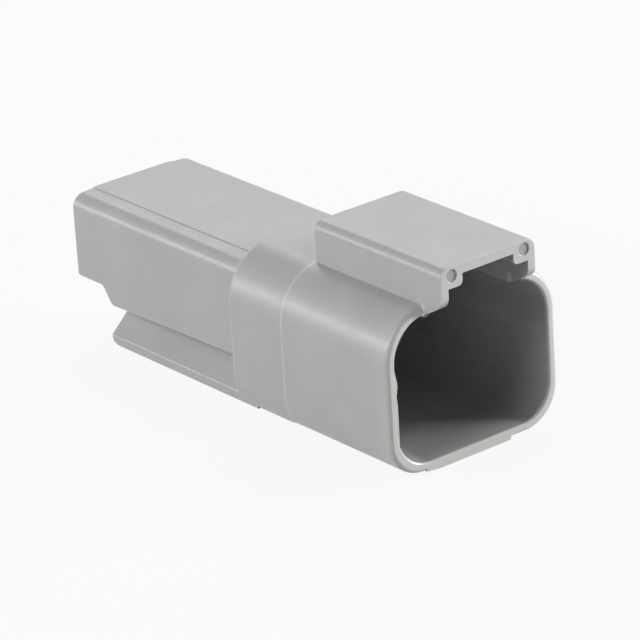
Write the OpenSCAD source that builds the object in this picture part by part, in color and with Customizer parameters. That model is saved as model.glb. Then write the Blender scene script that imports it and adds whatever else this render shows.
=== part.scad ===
// Sealed two-way receptacle: one moulded housing, a rear wire seal, a wedge lock and two pin contacts.
// Millimetres. +X runs along the mating axis towards the mouth, +Z is the latch side, and Z = 0 is
// the plane that the clip rail and the floor pad stand on.

/* [Overall] */
// Length from the rear end to the front of the latch housing
overall_l = 47.2; // [46:0.1:52]
// Height of the contact axes above the standing plane
contact_z = 8.85; // [8.6:0.05:9.1]
// Distance between the two contact axes
contact_pitch = 5.97; // [5.8:0.01:6.2]

/* [Shroud] */
// Length of the shroud from the shoulder to the mouth rim
shroud_l = 20.2; // [18:0.1:22]
// Outer width of the shroud
shroud_w = 17.8; // [17.2:0.1:19]
// Outer height of the shroud, without the floor pad
shroud_h = 14.3; // [14:0.1:15.5]
// Wall of the shroud
shroud_wall = 0.85; // [0.7:0.05:1.1]
// Outer radius of the two roof corners
roof_r = 4.4; // [3.5:0.1:5.2]
// Outer radius of the two floor corners
floor_r = 3.45; // [2.5:0.05:4]
// Inner radius of the two floor corners
floor_inner_r = 3.2; // [2.2:0.05:3.6]
// Length of the thicker band behind the moulding step
band_l = 6.8; // [5:0.1:8]
// Height of the moulding step round the shroud
band_step = 0.1; // [0.05:0.01:0.2]
// Width of the pad under the shroud floor
pad_w = 7.2; // [5:0.1:9]
// Height of the pad under the shroud floor
pad_h = 0.2; // [0.15:0.01:0.6]
// Depth of the keying ridges inside the side walls
key_depth = 0.25; // [0.2:0.05:0.6]
// Height of the keying ridges, slopes included
key_h = 2.4; // [1.8:0.1:3]
// Distance from the contact axes down to the ridges' lower ends
key_drop = 1.35; // [1:0.05:1.8]
// Thickening of the side walls below the ridges
swell_depth = 0.18; // [0.1:0.02:0.3]
// Height of the thickening
swell_h = 4.5; // [2:0.1:5]

/* [Latch housing] */
// Outer width of the latch housing
latch_w = 9.9; // [9:0.1:11]
// Height of the latch housing above the shroud roof
latch_h = 3.53; // [3:0.01:4]
// How far the latch housing stands out in front of the mouth rim
latch_overhang = 2.35; // [1:0.05:3]
// Wall of its two cheeks
cheek_wall = 0.78; // [0.6:0.02:1]
// Thickness of its roof
latch_roof = 0.82; // [0.6:0.02:1]
// Radius of its long upper edges
latch_edge_r = 0.8; // [0.4:0.1:0.8]
// Rise of the lower edge of the cheeks in front of the rim
cheek_rise = 1.2; // [0.6:0.05:1.6]
// Depth that the latch housing's walls reach down into the shroud's roof
cheek_root = 1.0; // [0.8:0.1:1.6]
// Width of the bars in the inner upper corners
corner_bar_w = 1.5; // [1.2:0.05:1.7]
// Height of the bars in the inner upper corners
corner_bar_h = 0.98; // [0.7:0.02:1.2]
// Radius of the round dimples in the front of the bars
dimple_r = 0.55; // [0.3:0.05:0.6]
// Distance from the dimples' centres to the tunnel's side walls
dimple_inset = 0.38; // [0.3:0.02:0.7]
// Height of the dimples' centres above the tunnel's roof
dimple_rise = 0.07; // [0:0.01:0.15]
// Depth of the dimples
dimple_depth = 0.25; // [0.1:0.05:0.5]
// Height of the catch under the roof
catch_h = 0.95; // [0.7:0.05:1.1]
// Length of the catch
catch_l = 1.8; // [1.2:0.1:2.5]
// Distance from the front of the latch housing to the catch
catch_inset = 3.2; // [2.8:0.1:5]

/* [Rear body] */
// Outer width of the rear body
body_w = 13.2; // [12.8:0.1:14]
// Height of the rear body's top panel above the standing plane
body_top_z = 12.55; // [12.4:0.05:13]
// Radius of the long upper edges
body_edge_r = 1.2; // [0.8:0.1:1.5]
// Width of the raised panel on top
panel_w = 8.5; // [6:0.1:9.5]
// Height of the raised panel
panel_rise = 0.06; // [0.03:0.01:0.1]
// Fall of the top from the panel's foot to the rounded edges
top_fall = 0.08; // [0.05:0.01:0.25]
// Height of the body's floor at the clip rail's rear end
body_floor_z = 3.55; // [3.4:0.05:3.9]
// Rise of the body's floor from there to the shoulder
body_floor_rise = 0.55; // [0:0.05:0.8]
// Length of the shallow tail at the rear end
tail_l = 3.5; // [2.5:0.1:4.5]
// Height of the tail's floor
tail_floor_z = 5.1; // [4.8:0.05:5.3]
// Length of the curved step from the tail's floor to the body's floor
tail_curve_l = 1.6; // [1:0.1:2]

/* [Clip rail] */
// Width of the rail's foot
rail_foot_w = 13.6; // [12.4:0.1:13.8]
// Width of the rail's neck, where it meets the body
rail_neck_w = 7.8; // [7:0.1:9]
// Height of the straight lip of the foot
rail_lip_h = 0.8; // [0.5:0.05:0.9]
// How far the rail's neck reaches up into the body
rail_root_h = 1.5; // [1:0.1:2]
// Distance from the rear end to the rail
rail_inset = 4.8; // [4.4:0.1:6]
// How far the rail runs on under the shroud
rail_reach = 0.3; // [0.2:0.05:0.8]
// Length of the slot that the clip's tab snaps into
lock_slot_l = 1.25; // [0.7:0.05:1.4]
// Width of the slot
lock_slot_w = 15.2; // [12:0.1:15.6]
// Depth of the slot
lock_slot_h = 1.6; // [1:0.1:1.8]

/* [Contact block] */
// Thickness of the wall behind the mouth cavity
back_wall = 2.05; // [1.5:0.05:2.5]
// Length of the tower that stands on that wall
tower_l = 2.7; // [2.4:0.1:3.2]
// Wall of the tower round the wedge lock
tower_wall = 0.75; // [0.6:0.05:1]
// Thickness of the web that the contact collars stop against
web_t = 1.3; // [1:0.05:1.6]
// Radius of the contact cavities
cavity_r = 1.75; // [1.7:0.01:1.85]
// Thickness of a lock finger's hook across the cavity
hook_t = 0.37; // [0.25:0.01:0.4]
// Length of the lock fingers
finger_l = 5.15; // [4:0.05:5.5]
// Height of the lock fingers
finger_h = 2.0; // [1.6:0.1:2.4]
// Width of the slits above and below a finger
finger_slit = 0.3; // [0.2:0.05:0.4]

/* [Wedge lock] */
// Width of the wedge lock
wedge_w = 9.9; // [9.4:0.1:10]
// Height of the wedge lock
wedge_h = 4.6; // [4.2:0.1:5]
// Length of the wedge lock's plate
wedge_l = 3.0; // [2.6:0.1:3.2]
// Corner radius of the plate
wedge_r = 0.9; // [0.5:0.1:1.2]
// Clearance round the plate in the tower
wedge_gap = 0.12; // [0.08:0.01:0.15]
// Thickness of the tongue between the fingers
tongue_t = 1.4; // [1.2:0.05:1.5]
// Height of the tongue
tongue_h = 3.6; // [3:0.1:3.8]
// Length of the tongue behind the plate
tongue_l = 6.0; // [5:0.1:6.2]
// Clearance round the tongue
tongue_gap = 0.1; // [0.08:0.01:0.14]
// Radius of the plate's two pin holes
wedge_hole_r = 1.15; // [1.05:0.05:1.25]
// Side of the square window that a removal hook pulls on
hook_window = 1.5; // [1.2:0.1:1.7]
// Depth of that window
hook_window_depth = 1.6; // [1:0.1:2]
// Depth of the counterbores that clear the contacts' necks
neck_seat = 0.5; // [0.4:0.05:0.6]
// Width of the chamfers round the pin holes
hole_chamfer = 0.5; // [0.3:0.05:0.6]

/* [Contacts] */
// Radius of the pin
pin_r = 0.79; // [0.75:0.01:0.82]
// Length of the pin in front of the wedge lock
pin_l = 6.35; // [5.5:0.05:7]
// Radius of the pin's root inside the wedge lock
root_r = 1.0; // [0.95:0.01:1.05]
// Radius of the neck in the web
neck_r = 1.22; // [1.1:0.01:1.25]
// Clearance round the neck
neck_gap = 0.08; // [0.05:0.01:0.1]
// Radius of the collar
collar_r = 1.64; // [1.55:0.01:1.66]
// Length of the collar
collar_l = 1.5; // [1.2:0.1:1.8]
// Radius of the crimp barrel
barrel_r = 1.31; // [1.2:0.01:1.33]
// Length of the crimp barrel
barrel_l = 9.3; // [8:0.1:10]
// Radius of the wire hole in the barrel
wire_r = 1.03; // [0.9:0.01:1.06]
// Depth of the wire hole
wire_depth = 6.5; // [5:0.1:7]
// Clearance before and behind the collar
collar_gap = 0.06; // [0.04:0.01:0.1]
// Radius of the inspection hole in the barrel
sight_r = 0.4; // [0.3:0.05:0.5]

/* [Wire seal] */
// Width of the seal's pocket
pocket_w = 11.1; // [10.8:0.1:11.4]
// Height of the seal's pocket
pocket_h = 5.25; // [5.1:0.05:5.4]
// Depth of the seal's pocket
pocket_l = 10.2; // [9:0.1:11]
// How far the seal lies inside the rear end
seal_recess = 0.35; // [0.2:0.05:0.6]
// Depth of the grooves between the seal's outer ribs
seal_groove = 0.3; // [0.2:0.05:0.4]
// Gap between the seal's ribs and the pocket
seal_gap = 0.03; // [0.02:0.01:0.05]
// Length of one outer rib
seal_rib_l = 1.5; // [1.2:0.1:1.8]
// Number of outer ribs
seal_ribs = 3; // [2:1:3]
// Radius of the lips in the wire holes
lip_r = 0.8; // [0.7:0.05:0.9]
// Radius of the wire holes between the lips
wire_hole_r = 1.1; // [1:0.05:1.2]
// Radius of the wire holes' mouths
hole_mouth_r = 1.6; // [1.5:0.05:1.8]
// Length of one lip
lip_l = 1.0; // [0.8:0.1:1.4]

/* [Hidden] */
$fn = 48;
eps = 0.01;

// Stations along X
front_x = overall_l / 2;
rear_x = -overall_l / 2;
rim_x = front_x - latch_overhang;
shoulder_x = rim_x - shroud_l;
band_x = shoulder_x + band_l;
cavity_floor_x = shoulder_x + back_wall;
tower_x = cavity_floor_x + tower_l;
wedge_front_x = tower_x - 0.2;
wedge_seat_x = wedge_front_x - wedge_l;
web_x = wedge_seat_x - web_t;
pocket_floor_x = rear_x + pocket_l;
rail_x = rear_x + rail_inset;

// Heights
shroud_roof_z = pad_h + shroud_h;
cavity_floor_z = pad_h + shroud_wall;
cavity_roof_z = shroud_roof_z - shroud_wall;
latch_top_z = shroud_roof_z + latch_h;
tunnel_roof_z = latch_top_z - latch_roof;
key_z = contact_z - key_drop;

// Widths and places across the part
tunnel_w = latch_w - 2 * cheek_wall;
contact_y = contact_pitch / 2;
slot_w = tongue_t + 2 * tongue_gap;
slot_h = tongue_h + 2 * tongue_gap;

// Contact stations, from the collar's front face
collar_x = web_x - collar_gap;
barrel_x = collar_x - collar_l;
root_x = wedge_seat_x + neck_seat - 0.2;
pin_x = wedge_front_x + 0.2;
tip_x = pin_x + pin_l;
finger_tip_x = barrel_x - collar_gap;
finger_root_x = finger_tip_x - finger_l;

// Extrudes a profile drawn in (Y, Z) from x0 to x1
module along_x(x0, x1) {
    translate([x0, 0, 0]) rotate([90, 0, 90]) linear_extrude(x1 - x0) children();
}

// Extrudes a profile drawn in (X, Z) across the width w
module across_y(w) {
    rotate([90, 0, 0]) linear_extrude(w, center = true) children();
}

// A cylinder along X from x0 to x1, about the axis at (y, z)
module rod_x(x0, x1, r, y = 0, z = contact_z) {
    translate([x0, y, z]) rotate([0, 90, 0]) cylinder(h = x1 - x0, r = r);
}

// A cone along X from x0 to x1, about the axis at (y, z)
module cone_x(x0, x1, r0, r1, y = 0, z = contact_z) {
    translate([x0, y, z]) rotate([0, 90, 0]) cylinder(h = x1 - x0, r1 = r0, r2 = r1);
}

// An upright box profile with its own radius at the lower and the upper corners
module round_profile(w, z0, z1, r_low, r_high) {
    for (side = [-1, 1]) {
        translate([side * (w / 2 - r_low), z0 + r_low]) circle(r_low);
        translate([side * (w / 2 - r_high), z1 - r_high]) circle(r_high);
    }
    translate([-w / 2, z0 + r_low]) square([w, z1 - z0 - r_low - r_high]);
    translate([r_low - w / 2, z0]) square([w - 2 * r_low, r_low + eps]);
    translate([r_high - w / 2, z1 - r_high - eps]) square([w - 2 * r_high, r_high + eps]);
}

// A box profile centred on the contact axes, one radius all round
module centred_profile(w, h, r) {
    round_profile(w, contact_z - h / 2, contact_z + h / 2, r, r);
}

// Outside of the shroud, grown by g
module shroud_profile(g = 0) {
    round_profile(shroud_w + 2 * g, pad_h - g, shroud_roof_z + g, floor_r + g, roof_r + g);
}

module shroud_outside() {
    along_x(shoulder_x, rim_x) shroud_profile();
    along_x(shoulder_x, band_x) shroud_profile(band_step);
    translate([shoulder_x, -pad_w / 2, 0]) cube([shroud_l, pad_w, pad_h + shroud_wall]);
}

// Latch housing: a bridge over the roof, its cheeks rising in front of the rim
module latch_outside() {
    cheek_z = cavity_roof_z;
    intersection() {
        along_x(band_x, front_x)
            round_profile(latch_w, cheek_z - cheek_root, latch_top_z, eps, latch_edge_r);
        across_y(latch_w + 1) polygon([
            [band_x - 1, cheek_z - cheek_root - 1], [rim_x - eps, cheek_z - cheek_root - 1],
            [rim_x, cheek_z], [front_x - 0.3, cheek_z + cheek_rise], [front_x, cheek_z + cheek_rise + 0.3],
            [front_x + 1, latch_top_z + 1], [band_x - 1, latch_top_z + 1]
        ]);
    }
}

// Side view of the rear body: a shallow tail, a curved step and a slowly rising floor
module body_side_profile() {
    step_x = rear_x + tail_l;
    fall = tail_floor_z - body_floor_z;
    steps = 8;
    s_curve = [for (i = [0 : steps]) let (t = i / steps)
        [step_x + tail_curve_l * t, tail_floor_z - fall * t * t * (3 - 2 * t)]];
    polygon(concat(
        [[rear_x, body_top_z + 1], [rear_x, tail_floor_z + 0.3], [rear_x + 0.3, tail_floor_z]],
        s_curve,
        [[shoulder_x + 1, body_floor_z + body_floor_rise], [shoulder_x + 1, body_top_z + 1]]
    ));
}

// End view of the rear body: rounded long edges, a slight fall and a raised panel on top
module body_end_profile() {
    foot_z = body_top_z - panel_rise;
    edge_z = foot_z - top_fall;
    edge_y = body_w / 2 - body_edge_r;
    round_profile(body_w, 0, edge_z, eps, body_edge_r);
    polygon([
        [-edge_y, edge_z - 1], [-edge_y, edge_z], [-panel_w / 2, foot_z], [-panel_w / 2, body_top_z],
        [panel_w / 2, body_top_z], [panel_w / 2, foot_z], [edge_y, edge_z], [edge_y, edge_z - 1]
    ]);
}

module rear_body() {
    intersection() {
        along_x(rear_x, shoulder_x + 1) body_end_profile();
        across_y(body_w + 1) body_side_profile();
    }
}

// Dovetail rail for a mounting clip: it is widest at its foot
module clip_rail() {
    top_z = body_floor_z + rail_root_h;
    intersection() {
        along_x(rail_x, shoulder_x + rail_reach) polygon([
            [-rail_foot_w / 2, 0], [-rail_foot_w / 2, rail_lip_h], [-rail_neck_w / 2, body_floor_z],
            [-rail_neck_w / 2, top_z], [rail_neck_w / 2, top_z], [rail_neck_w / 2, body_floor_z],
            [rail_foot_w / 2, rail_lip_h], [rail_foot_w / 2, 0]
        ]);
        across_y(rail_foot_w + 1) polygon([
            [rail_x, top_z], [rail_x, rail_lip_h], [rail_x + rail_lip_h, 0],
            [shoulder_x + 1, 0], [shoulder_x + 1, top_z]
        ]);
    }
}

// Mouth cavity, with its keying ridges left standing in the side walls
module mouth_cavity() {
    inner_w = shroud_w - 2 * shroud_wall;
    r_high = roof_r - shroud_wall;
    difference() {
        along_x(cavity_floor_x, front_x + 1)
            round_profile(inner_w, cavity_floor_z, cavity_roof_z, floor_inner_r, r_high);
        for (side = [-1, 1])
            along_x(cavity_floor_x - 1, rim_x) key_profile(side, inner_w / 2);
    }
}

// A keying ridge with sloping sides, over a shallow thickening of the wall
module key_profile(side, wall_y) {
    polygon([
        [side * (wall_y + 1), key_z + key_h], [side * wall_y, key_z + key_h],
        [side * (wall_y - key_depth), key_z + 0.42 * key_h],
        [side * (wall_y - key_depth), key_z + 0.32 * key_h],
        [side * (wall_y - 0.4 * key_depth), key_z], [side * (wall_y - swell_depth), key_z - 0.5],
        [side * (wall_y - swell_depth), key_z + 0.4 - swell_h],
        [side * wall_y, key_z - swell_h], [side * (wall_y + 1), key_z - swell_h]
    ]);
}

// Tunnel under the latch housing's roof, open to the mouth cavity below
module latch_tunnel() {
    along_x(band_x + shroud_wall, front_x + 1)
        translate([-tunnel_w / 2, contact_z]) square([tunnel_w, tunnel_roof_z - contact_z]);
}

// Bars in the tunnel's upper corners, and the catch that holds the plug's latch
module tunnel_fittings() {
    for (side = [-1, 1])
        difference() {
            along_x(band_x + eps, front_x)
                translate([side * (tunnel_w / 2 - corner_bar_w / 2) - corner_bar_w / 2,
                    tunnel_roof_z - corner_bar_h])
                    square([corner_bar_w + eps * side, corner_bar_h + eps]);
            dimple(side);
        }
    catch_w = tunnel_w - 2 * corner_bar_w + 2 * eps;
    across_y(catch_w) polygon([
        [front_x - catch_inset, tunnel_roof_z + eps], [front_x - catch_inset - 0.3 * catch_l,
        tunnel_roof_z - catch_h], [front_x - catch_inset - catch_l, tunnel_roof_z - catch_h],
        [front_x - catch_inset - catch_l, tunnel_roof_z + eps]
    ]);
}

module dimple(side) {
    y = side * (tunnel_w / 2 - dimple_inset);
    rod_x(front_x - dimple_depth, front_x + 1, dimple_r, y, tunnel_roof_z + dimple_rise);
}

// Slot in front of the rail for the tab of a mounting clip
module lock_slot() {
    translate([shoulder_x + rail_reach, -lock_slot_w / 2, -1])
        cube([lock_slot_l, lock_slot_w, lock_slot_h + 1]);
}

// Pocket of the wire seal and the two contact cavities
module contact_passages() {
    along_x(rear_x - 1, pocket_floor_x) centred_profile(pocket_w, pocket_h, pocket_h / 2 - eps);
    for (side = [-1, 1]) {
        rod_x(pocket_floor_x - 1, web_x, cavity_r, side * contact_y);
        rod_x(web_x - 1, wedge_seat_x + 1, neck_r + neck_gap, side * contact_y);
    }
}

// Slot of the wedge lock's tongue, and the slits that free the two fingers
module finger_slots() {
    translate([finger_root_x, -slot_w / 2, contact_z - slot_h / 2])
        cube([wedge_seat_x + 1 - finger_root_x, slot_w, slot_h]);
    slit_w = contact_pitch - 2 * (cavity_r - 0.6);
    half_h = finger_h / 2 + finger_slit;
    for (side = [-1, 1])
        translate([finger_root_x, -slit_w / 2,
            contact_z + side * (half_h - finger_slit / 2) - finger_slit / 2])
            cube([web_x - finger_root_x, slit_w, finger_slit]);
    translate([finger_tip_x, -slit_w / 2, contact_z - half_h])
        cube([web_x - finger_tip_x, slit_w, 2 * half_h]);
}

// Hook at a finger's free end, behind the contact's collar
module finger_hook(side) {
    ramp_l = 1.2;
    hook_l = 2.0;
    hook_r = cavity_r - hook_t;
    hook_x = finger_tip_x - hook_l;
    y = side * contact_y;
    difference() {
        translate([hook_x, side > 0 ? slot_w / 2 : -slot_w / 2 - 1, contact_z - finger_h / 2])
            cube([hook_l, 1, finger_h]);
        rod_x(hook_x - 1, finger_tip_x + 1, hook_r, y);
        cone_x(hook_x - eps, hook_x + ramp_l, cavity_r, hook_r, y);
    }
}

// Tower in the mouth cavity that holds the wedge lock
module tower() {
    w = wedge_w + 2 * (wedge_gap + tower_wall);
    h = wedge_h + 2 * (wedge_gap + tower_wall);
    along_x(cavity_floor_x - eps, tower_x) centred_profile(w, h, wedge_r + wedge_gap + tower_wall);
}

module wedge_pocket() {
    along_x(wedge_seat_x, tower_x + 1)
        centred_profile(wedge_w + 2 * wedge_gap, wedge_h + 2 * wedge_gap, wedge_r + wedge_gap);
}

module housing() color("darkgray") {
    difference() {
        union() {
            difference() {
                union() {
                    shroud_outside();
                    latch_outside();
                    rear_body();
                    clip_rail();
                }
                mouth_cavity();
                latch_tunnel();
                for (side = [-1, 1]) dimple(side);
                lock_slot();
            }
            tunnel_fittings();
            tower();
        }
        wedge_pocket();
        contact_passages();
        finger_slots();
    }
    for (side = [-1, 1]) finger_hook(side);
}

// Silicone seal: outer ribs, and two wire holes with lips
module wire_seal() color("orangered") {
    x0 = rear_x + seal_recess;
    x1 = pocket_floor_x;
    core_w = pocket_w - 2 * (seal_gap + seal_groove);
    core_h = pocket_h - 2 * (seal_gap + seal_groove);
    rib_pitch = (x1 - x0 - seal_rib_l) / (seal_ribs - 1);
    difference() {
        union() {
            along_x(x0, x1) centred_profile(core_w, core_h, core_h / 2 - eps);
            for (i = [0 : seal_ribs - 1])
                along_x(x0 + i * rib_pitch, x0 + i * rib_pitch + seal_rib_l)
                    centred_profile(core_w + 2 * seal_groove, core_h + 2 * seal_groove,
                        core_h / 2 + seal_groove - eps);
        }
        for (side = [-1, 1]) wire_hole(x0, x1, side * contact_y);
    }
}

// One wire hole: a funnel at each end and three lips between wider stretches
module wire_hole(x0, x1, y) {
    funnel_l = hole_mouth_r - lip_r;
    lip_pitch = (x1 - x0 - 2 * funnel_l - lip_l) / 2;
    rod_x(x0 - 1, x1 + 1, lip_r, y);
    cone_x(x0 - eps, x0 + funnel_l, hole_mouth_r + eps, lip_r, y);
    cone_x(x1 - funnel_l, x1 + eps, lip_r, hole_mouth_r + eps, y);
    for (i = [0, 1])
        rod_x(x0 + funnel_l + lip_l + i * lip_pitch, x0 + funnel_l + (i + 1) * lip_pitch, wire_hole_r, y);
}

// Secondary lock: a plate round the pins and a tongue that blocks the fingers
module wedge_lock() color("orange") {
    difference() {
        union() {
            along_x(wedge_seat_x, wedge_front_x) centred_profile(wedge_w, wedge_h, wedge_r);
            translate([wedge_seat_x - tongue_l, -tongue_t / 2, contact_z - tongue_h / 2])
                cube([tongue_l + eps, tongue_t, tongue_h]);
        }
        for (side = [-1, 1]) {
            rod_x(wedge_seat_x - 1, wedge_front_x + 1, wedge_hole_r, side * contact_y);
            rod_x(wedge_seat_x - 1, wedge_seat_x + neck_seat, neck_r + neck_gap + 0.1, side * contact_y);
            cone_x(wedge_front_x - hole_chamfer, wedge_front_x + eps, wedge_hole_r,
                wedge_hole_r + hole_chamfer + eps, side * contact_y);
        }
        translate([wedge_front_x - hook_window_depth, -hook_window / 2, contact_z - hook_window / 2])
            cube([hook_window_depth + 1, hook_window, hook_window]);
    }
}

// Turned pin contact with its collar and crimp barrel
module contact_pin(side) {
    y = side * contact_y;
    tip_r = 0.35;
    tip_l = 0.7;
    difference() {
        union() {
            rod_x(pin_x, tip_x - tip_l, pin_r, y);
            cone_x(tip_x - tip_l, tip_x, pin_r, tip_r, y);
            rod_x(root_x, pin_x, root_r, y);
            rod_x(collar_x, root_x, neck_r, y);
            rod_x(barrel_x, collar_x, collar_r, y);
            rod_x(barrel_x - barrel_l, barrel_x, barrel_r, y);
        }
        rod_x(barrel_x - barrel_l - 1, barrel_x - barrel_l + wire_depth, wire_r, y);
        translate([barrel_x - barrel_l + wire_depth - 1, y, contact_z])
            cylinder(h = barrel_r + 1, r = sight_r);
    }
}

module contact_pin_left() color("silver") contact_pin(1);
module contact_pin_right() color("silver") contact_pin(-1);

housing();
wire_seal();
wedge_lock();
contact_pin_left();
contact_pin_right();
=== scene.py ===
import math
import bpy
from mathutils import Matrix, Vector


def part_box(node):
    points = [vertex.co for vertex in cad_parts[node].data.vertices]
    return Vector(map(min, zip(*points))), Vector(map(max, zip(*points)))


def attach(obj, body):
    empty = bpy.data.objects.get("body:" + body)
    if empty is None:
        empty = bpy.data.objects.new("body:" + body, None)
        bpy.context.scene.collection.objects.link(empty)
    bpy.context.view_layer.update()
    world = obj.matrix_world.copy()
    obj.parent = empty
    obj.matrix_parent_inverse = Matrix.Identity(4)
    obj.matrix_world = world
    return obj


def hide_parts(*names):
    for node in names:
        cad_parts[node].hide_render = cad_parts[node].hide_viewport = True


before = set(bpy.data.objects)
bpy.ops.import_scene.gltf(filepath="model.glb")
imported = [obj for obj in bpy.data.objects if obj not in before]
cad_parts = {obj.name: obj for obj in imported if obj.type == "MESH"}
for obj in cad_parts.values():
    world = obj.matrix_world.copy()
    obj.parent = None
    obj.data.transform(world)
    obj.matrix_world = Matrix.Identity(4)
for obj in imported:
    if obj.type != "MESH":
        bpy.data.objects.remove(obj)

from types import SimpleNamespace

import bpy
from bpy.props import FloatProperty, FloatVectorProperty, IntProperty, PointerProperty
from mathutils import Matrix, Vector

bl_info = {
    "name": "Sealed Receptacle",
    "version": (1, 0, 0),
    "blender": (4, 5, 0),
    "location": "View3D > Sidebar > Receptacle",
    "description": "Builds a sealed receptacle: housing, wire seal, wedge lock and pin contacts",
    "category": "Add Mesh",
}

# Lengths are in millimetres, in which the pieces are shaped, unless metres are named.
METRE = 1000.0
AXIS_Z = 8.85        # height of the contact axes
EPS = 0.01           # keeps the faces of two pieces out of one plane
OVER = 1.0           # how far a tool runs past what it cuts, and a piece into what it joins
NEAR = 0.002         # how close to a plane an edge counts as lying in it
CORNER_STEPS = 18    # facets of the shroud's large corners

# (forward, up) points of the cheeks' curve in front of the rim, and of the tail's lower corner
CHEEK_CURVE = ((0.4, 0.18), (0.95, 0.47), (1.62, 0.85), (1.95, 1.07),
               (2.15, 1.28), (2.28, 1.52), (2.36, 1.9))
TAIL_CORNER = ((0, 0.6), (0.06, 0.34), (0.18, 0.17), (0.36, 0.06), (0.6, 0))
# Slopes of a side ridge, as shares of its depth and of its height
KEY_SLOPES = ((0.2, 0.85), (0.85, 0.52), (1, 0.42), (1, 0.35), (0.8, 0.26), (0.4, 0))

AIM = Vector((0.0, 0.0, 0.008))                  # metres; what the lamps look at
CAMERA_LEFT, CAMERA_DOWN = 0.0010722, 0.0013167  # metres; the camera's small steps aside
FLOOR_GREY = 0.65
PAPER_SHARE = 0.9    # how much of the floor shows as plain paper
AMBIENT = 0.03       # the surroundings' light on the part
# name, direction, distance, width and height in metres, level, tint
LAMPS = (
    ("back light", (-0.5, 0.5, 0.7), 0.55, 0.35, 0.35, 0.41, (0.95, 0.965, 1.0)),
    ("right light", (0.45, 0.87, 0.2), 0.6, 0.24, 0.18, 1.25),
    ("low strip", (-0.727, -0.66, 0.19), 0.5, 0.35, 0.08, 0.3),
    ("side fill", (-0.1, -0.85, 0.5), 0.55, 0.45, 0.25, 0.68),
)


def length(name, description, millimetres):
    """A size that shows in the panel in scene units."""
    return FloatProperty(name=name, description=description, default=millimetres / METRE,
                         min=0.0, soft_max=0.1, precision=5, unit='LENGTH')


def colour(name, description, rgb):
    return FloatVectorProperty(name=name, description=description, default=(*rgb, 1.0),
                               size=4, min=0.0, max=1.0, subtype='COLOR')


class HousingSizes(bpy.types.PropertyGroup):
    shroud_length: length("Shroud length", "From the shoulder to the mouth's rim", 20.2)
    shroud_width: length("Shroud width", "Outer width in front of the moulding step", 17.8)
    shroud_height: length("Shroud height", "Outer height without the floor pad", 14.3)
    shroud_wall: length("Shroud wall", "Thickness of the shroud's walls", 0.85)
    roof_radius: length("Roof radius", "Outer radius of the upper corners", 4.4)
    floor_radius: length("Floor radius", "Outer radius of the lower corners", 3.45)
    floor_inner: length("Inner floor radius", "Inner radius of the lower corners", 3.2)
    rim_radius: length("Rim radius", "Rounding of the rim's outer edge", 0.4)
    rim_chamfer: length("Rim chamfer", "Chamfer along the rim's inner edge", 0.12)
    lead_length: length("Lead length", "Lead-in on the mouth's floor", 1.2)
    lead_depth: length("Lead depth", "Depth of that lead-in at the rim", 0.13)
    band_length: length("Band length", "Thicker band behind the moulding step", 6.8)
    band_step: length("Band step", "Height of the moulding step", 0.1)
    band_ramp: length("Band ramp", "Length over which that step fades out", 0.5)
    pad_width: length("Pad width", "Width of the pad under the floor", 7.2)
    pad_height: length("Pad height", "Height of the pad under the floor", 0.2)
    key_depth: length("Key depth", "How far the side ridges stand into the mouth", 0.25)
    key_height: length("Key height", "Height of the side ridges, slopes included", 2.4)
    swell_depth: length("Swell depth", "Thickening of the side walls below the ridges", 0.18)
    swell_height: length("Swell height", "Height of that thickening", 4.5)
    latch_width: length("Latch width", "Outer width of the latch housing", 9.9)
    latch_height: length("Latch height", "Latch housing above the shroud's roof", 3.53)
    latch_overhang: length("Latch overhang", "Latch housing in front of the rim", 2.35)
    cheek_wall: length("Cheek wall", "Thickness of the latch housing's cheeks", 0.78)
    latch_roof: length("Latch roof", "Thickness of the latch housing's roof", 0.82)
    latch_edge: length("Latch edge", "Rounding of its long upper edges", 0.8)
    bar_width: length("Bar width", "Bars in the tunnel's upper corners", 1.5)
    bar_height: length("Bar height", "Height of those bars", 0.98)
    mark_radius: length("Mark radius", "Round dimples at the front of those bars", 0.55)
    mark_inset: length("Mark inset", "From the tunnel's wall to a dimple's centre", 0.38)
    mark_rise: length("Mark rise", "Dimples' centres above the tunnel's roof", 0.07)
    catch_height: length("Catch height", "Catch under the latch housing's roof", 0.95)
    catch_length: length("Catch length", "Length of the catch", 1.8)
    catch_inset: length("Catch inset", "From the front to the catch", 3.2)
    body_width: length("Body width", "Width of the rear body", 13.2)
    body_top: length("Body top", "Height of the rear body's top panel", 12.55)
    body_edge: length("Body edge", "Rounding of its long upper edges", 1.2)
    panel_width: length("Panel width", "Raised panel on the rear body's top", 8.5)
    panel_rise: length("Panel rise", "Height of the raised panel", 0.06)
    top_fall: length("Top fall", "Fall of the top beside the panel", 0.08)
    body_floor: length("Body floor", "Height of the floor at the rail's rear end", 3.55)
    floor_rise: length("Floor rise", "Rise of that floor up to the shoulder", 0.55)
    tail_length: length("Tail length", "Shallow tail at the rear end", 3.5)
    tail_floor: length("Tail floor", "Height of the tail's floor", 5.1)
    tail_curve: length("Tail curve", "Length of the curved step", 1.6)
    rail_foot: length("Rail foot", "Width of the clip rail's foot", 13.6)
    rail_neck: length("Rail neck", "Width of the clip rail's neck", 7.8)
    rail_lip: length("Rail lip", "Height of the foot's straight lip", 0.8)
    rail_inset: length("Rail inset", "From the rear end to the rail", 4.8)
    rail_reach: length("Rail reach", "How far the rail runs on under the shroud", 0.3)
    slot_length: length("Slot length", "Slot for the clip's tab", 1.25)
    slot_width: length("Slot width", "Width of that slot", 15.2)
    slot_height: length("Slot height", "Depth of that slot", 1.6)


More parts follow.
